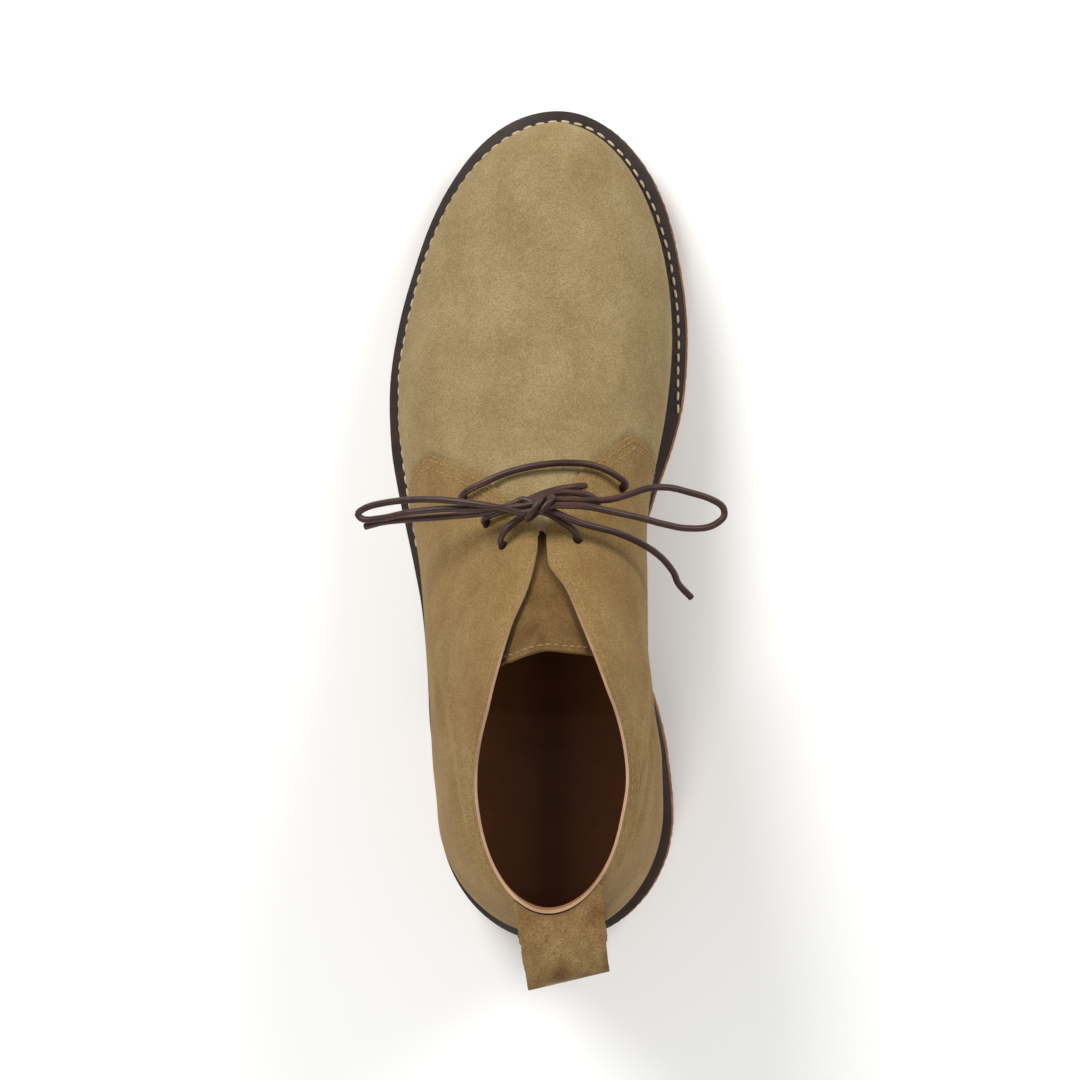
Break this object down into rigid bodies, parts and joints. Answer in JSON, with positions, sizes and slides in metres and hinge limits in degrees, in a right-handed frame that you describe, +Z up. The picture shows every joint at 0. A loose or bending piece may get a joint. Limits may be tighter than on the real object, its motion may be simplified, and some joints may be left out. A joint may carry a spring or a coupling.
{
  "type": "chukka boot",
  "caption": "Left ankle-high lace-up boot in sand suede, on a flat welted sole with a low heel; stands empty on its sole.",
  "frame": {"origin": "on the floor, at the middle of the heel's tread", "axes": "+Y to the toe, +X to the inner (medial) side of this left boot, +Z up"},
  "size_m": [0.1303, 0.3131, 0.131],
  "materials": {
    "crepe": "natural crepe rubber, amber, matt with a fine crumpled grain",
    "edge_leather": "dark brown sole leather, waxed edge",
    "suede": "sand suede, short nap",
    "lining": "smooth tan lining leather",
    "cord": "dark brown round waxed cord"
  },
  "bodies": {
    "root": {"outsole": "crepe", "heel": "crepe", "midsole": "edge_leather", "welt": "edge_leather", "insole": "lining", "upper": "suede", "tongue": "suede", "pull_loop": "suede", "lace_bar": "cord", "lace_crossing": "cord", "lace_risers": "cord", "lace_knot": "cord", "lace_loop_lateral": "cord", "lace_end_lateral": "cord", "lace_loop_medial": "cord", "lace_end_medial": "cord"}
  },
  "joints": []
}
